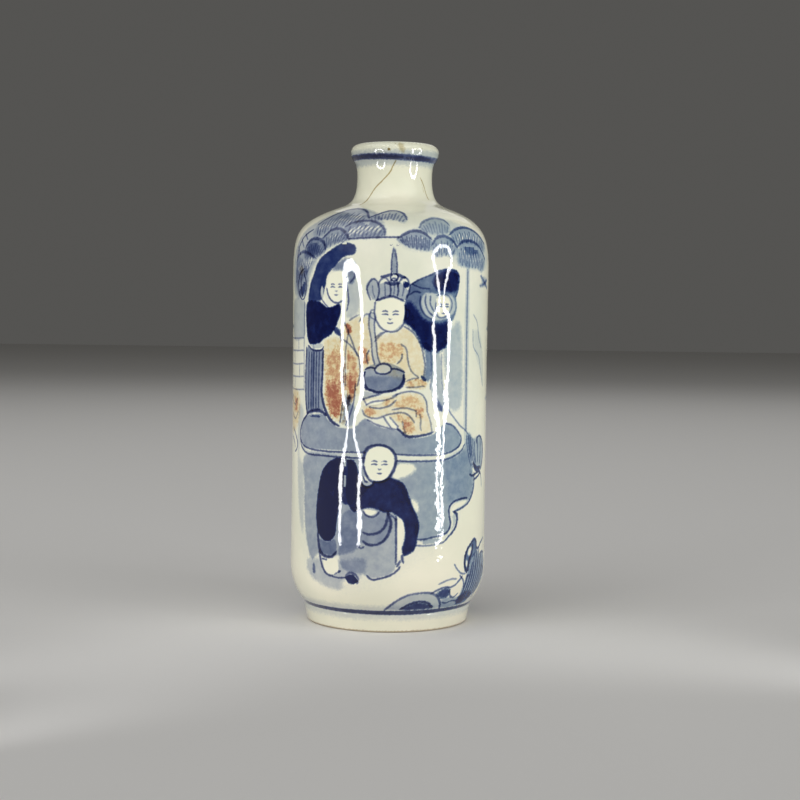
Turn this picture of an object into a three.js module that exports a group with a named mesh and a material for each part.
import * as THREE from 'three';

// A cylindrical porcelain snuff bottle, thrown and turned as one hollow piece: a foot ring,
// an upright body, a rounded shoulder that dips before the neck, and a thick rolled lip.
// Units are millimetres. +Z is up, the axis is Z and the foot ring stands on Z = 0.
// Every outline point below is a pair: distance from the axis, height.

// Overall
const HEIGHT = 82;
const SECTORS = 72;

// Body: an upright side that draws in very slightly at mid height
const BODY_RADIUS = 16.9;
const BODY_WAIST = 0.1;
const WALL = 2.3;
const HEEL_TOP = 10;
const HEEL_CURVE = 10.6;

// Foot ring, and the shallow recess inside it
const FOOT_HEIGHT = 3.1;
const FOOT_TOP_RADIUS = 14.45;
const FOOT_BOTTOM_RADIUS = 13.9;
const FOOT_EDGE = 0.5;
const FOOT_RING_WIDTH = 2.1;
const RECESS_DEPTH = 1.8;
const RECESS_CORNER = 1.2;

// Shoulder: from the top of the side to the dip where the neck begins
const SHOULDER_START = 58.8;
const SHOULDER_PULL_UP = 7.2;
const SHOULDER_PULL_OUT = 7.2;
const SHOULDER_END_RADIUS = 10.1;
const SHOULDER_END = 70.9;
const SHOULDER_SLOPE = THREE.MathUtils.degToRad(20.7);

// Neck: it narrows to a waist under the lip
const NECK_PULL_IN = 2.25;
const NECK_PULL_DOWN = 4.5;
const NECK_RADIUS = 6.45;
const NECK_WAIST = 76.4;
const NECK_TOP_RADIUS = 6.8;
const NECK_TOP = 78.9;

// The neck stands a little off the body's axis, towards +X. The form leans over to it
// between these two heights.
const NECK_OFFSET = 0.45;
const OFFSET_START = 67;
const OFFSET_END = 71.5;

// Lip
const LIP_RADIUS = 7.57;
const LIP_WIDEST = 80.75;
const LIP_FLAT_RADIUS = 6.3;

// Mouth and bore
const BORE_RADIUS = 3.6;
const MOUTH_EDGE = 0.6;

// Inside of the body
const FLOOR_THICKNESS = 2.8;
const FLOOR_CORNER_WIDTH = 6;
const FLOOR_CORNER_HEIGHT = 6.5;
const THROAT_CURVE = 1.1;

const GLAZE_COLOUR = 0xe3dfca;
const GLAZE_ROUGHNESS = 0.12;

const point = (radius, height) => new THREE.Vector2(radius, height);

function line(start, end) {
  return new THREE.LineCurve(start, end);
}

function bend(start, control, end) {
  return new THREE.QuadraticBezierCurve(start, control, end);
}

// A quarter of an ellipse, from one angle to the next, turning the shorter way.
function quarter(centre, width, height, fromTurn, toTurn) {
  const clockwise = toTurn < fromTurn;
  const from = fromTurn * 2 * Math.PI;
  const to = toTurn * 2 * Math.PI;
  return new THREE.EllipseCurve(centre.x, centre.y, width, height, from, to, clockwise);
}

// Joins curves that follow one another. Each entry is a curve and its number of steps.
function trace(stretches) {
  const points = [stretches[0][0].getPoint(0)];
  for (const [curve, steps] of stretches) {
    points.push(...curve.getPoints(steps).slice(1));
  }
  return points;
}

// The underside: recess, foot ring and its outer face.
function footOutline() {
  const ringInner = FOOT_BOTTOM_RADIUS - FOOT_RING_WIDTH;
  const recessFloor = ringInner - RECESS_CORNER;
  const recessCorner = point(recessFloor, RECESS_DEPTH - RECESS_CORNER);
  const innerEdge = point(ringInner + FOOT_EDGE, FOOT_EDGE);
  const outerEdge = point(FOOT_BOTTOM_RADIUS - FOOT_EDGE, FOOT_EDGE);
  return trace([
    [line(point(0, RECESS_DEPTH), point(recessFloor, RECESS_DEPTH)), 1],
    [quarter(recessCorner, RECESS_CORNER, RECESS_CORNER, 0.25, 0), 2],
    [line(point(ringInner, recessCorner.y), point(ringInner, FOOT_EDGE)), 1],
    [quarter(innerEdge, FOOT_EDGE, FOOT_EDGE, 0.5, 0.75), 2],
    [line(point(innerEdge.x, 0), point(outerEdge.x, 0)), 1],
    [quarter(outerEdge, FOOT_EDGE, FOOT_EDGE, 0.75, 1), 2],
    [line(point(FOOT_BOTTOM_RADIUS, FOOT_EDGE), point(FOOT_TOP_RADIUS, FOOT_HEIGHT - 0.3)), 1],
  ]);
}

// The outside, from the heel above the foot up to the dip between shoulder and neck.
function bodyOutline() {
  const heelCentre = point(BODY_RADIUS - HEEL_CURVE, HEEL_TOP);
  const heelSpan = Math.asin((HEEL_TOP - FOOT_HEIGHT) / HEEL_CURVE);
  const heel = new THREE.EllipseCurve(
    heelCentre.x, heelCentre.y, HEEL_CURVE, HEEL_CURVE, -heelSpan, 0);
  const middle = (HEEL_TOP + SHOULDER_START) / 2;
  const side = bend(
    point(BODY_RADIUS, HEEL_TOP),
    point(BODY_RADIUS - 2 * BODY_WAIST, middle),
    point(BODY_RADIUS, SHOULDER_START));
  const dip = point(SHOULDER_END_RADIUS, SHOULDER_END);
  const slope = point(Math.cos(SHOULDER_SLOPE), -Math.sin(SHOULDER_SLOPE));
  const shoulder = new THREE.CubicBezierCurve(
    point(BODY_RADIUS, SHOULDER_START),
    point(BODY_RADIUS, SHOULDER_START + SHOULDER_PULL_UP),
    dip.clone().addScaledVector(slope, SHOULDER_PULL_OUT),
    dip);
  const neck = new THREE.CubicBezierCurve(
    dip,
    dip.clone().addScaledVector(slope, -NECK_PULL_IN),
    point(NECK_RADIUS, NECK_WAIST - NECK_PULL_DOWN),
    point(NECK_RADIUS, NECK_WAIST));
  return trace([[heel, 6], [side, 4], [shoulder, 9], [neck, 7]]);
}

// The lip: its sloping underside, rounded rim, flat top and the edge of the mouth.
function lipOutline() {
  const neckTop = point(NECK_TOP_RADIUS, NECK_TOP);
  const widest = point(LIP_RADIUS, LIP_WIDEST);
  const underside = point(LIP_RADIUS - 0.1, NECK_TOP + 0.6);
  const rimCentre = point(LIP_FLAT_RADIUS, LIP_WIDEST);
  const rimWidth = LIP_RADIUS - LIP_FLAT_RADIUS;
  const mouthCentre = point(BORE_RADIUS + MOUTH_EDGE, HEIGHT - MOUTH_EDGE);
  return trace([
    [bend(point(NECK_RADIUS, NECK_WAIST), point(NECK_RADIUS, NECK_TOP - 0.9), neckTop), 3],
    [bend(neckTop, underside, widest), 3],
    [quarter(rimCentre, rimWidth, HEIGHT - LIP_WIDEST, 0, 0.25), 4],
    [line(point(LIP_FLAT_RADIUS, HEIGHT), point(mouthCentre.x, HEIGHT)), 1],
    [quarter(mouthCentre, MOUTH_EDGE, MOUTH_EDGE, 0.25, 0.5), 2],
  ]);
}

// The hollow, from the bore down to the middle of the floor.
function hollowOutline() {
  const innerRadius = BODY_RADIUS - BODY_WAIST - WALL;
  const floorHeight = RECESS_DEPTH + FLOOR_THICKNESS;
  const inward = point(-Math.sin(SHOULDER_SLOPE), -Math.cos(SHOULDER_SLOPE));
  const slope = point(Math.cos(SHOULDER_SLOPE), -Math.sin(SHOULDER_SLOPE));
  const ceiling = point(SHOULDER_END_RADIUS, SHOULDER_END).addScaledVector(inward, WALL);
  const rise = Math.tan(SHOULDER_SLOPE);
  const throatRadius = BORE_RADIUS + THROAT_CURVE;
  const throat = point(throatRadius, ceiling.y + rise * (ceiling.x - throatRadius));
  const throatTop = point(BORE_RADIUS, throat.y + THROAT_CURVE);
  const throatCorner = point(BORE_RADIUS, throat.y + rise * THROAT_CURVE);
  const shoulder = new THREE.CubicBezierCurve(
    ceiling,
    ceiling.clone().addScaledVector(slope, SHOULDER_PULL_OUT - WALL),
    point(innerRadius, SHOULDER_START + SHOULDER_PULL_UP - WALL),
    point(innerRadius, SHOULDER_START));
  const floorCentre = point(innerRadius - FLOOR_CORNER_WIDTH, floorHeight + FLOOR_CORNER_HEIGHT);
  return trace([
    [line(point(BORE_RADIUS, HEIGHT - MOUTH_EDGE), throatTop), 1],
    [bend(throatTop, throatCorner, throat), 3],
    [line(throat, ceiling), 1],
    [shoulder, 7],
    [line(point(innerRadius, SHOULDER_START), point(innerRadius, floorCentre.y)), 1],
    [quarter(floorCentre, FLOOR_CORNER_WIDTH, FLOOR_CORNER_HEIGHT, 1, 0.75), 5],
    [line(point(floorCentre.x, floorHeight), point(0, floorHeight)), 1],
  ]);
}

// The stretches share their end points, so each later one drops its first.
const outline = [
  ...footOutline(),
  ...bodyOutline(),
  ...lipOutline().slice(1),
  ...hollowOutline().slice(1),
];

// LatheGeometry turns about Y, so the form is stood up afterwards to make Z its axis.
const form = new THREE.LatheGeometry(outline, SECTORS);
form.rotateX(Math.PI / 2);
const positions = form.attributes.position;
for (let i = 0; i < positions.count; i += 1) {
  const reach = THREE.MathUtils.smoothstep(positions.getZ(i), OFFSET_START, OFFSET_END);
  positions.setX(i, positions.getX(i) + NECK_OFFSET * reach);
}

const porcelain = new THREE.MeshStandardMaterial({
  color: GLAZE_COLOUR,
  roughness: GLAZE_ROUGHNESS,
  metalness: 0,
});

const bottle = new THREE.Mesh(form, porcelain);
bottle.name = 'bottle';

const snuffBottle = new THREE.Group();
snuffBottle.name = 'snuff_bottle';
snuffBottle.add(bottle);

export default snuffBottle;
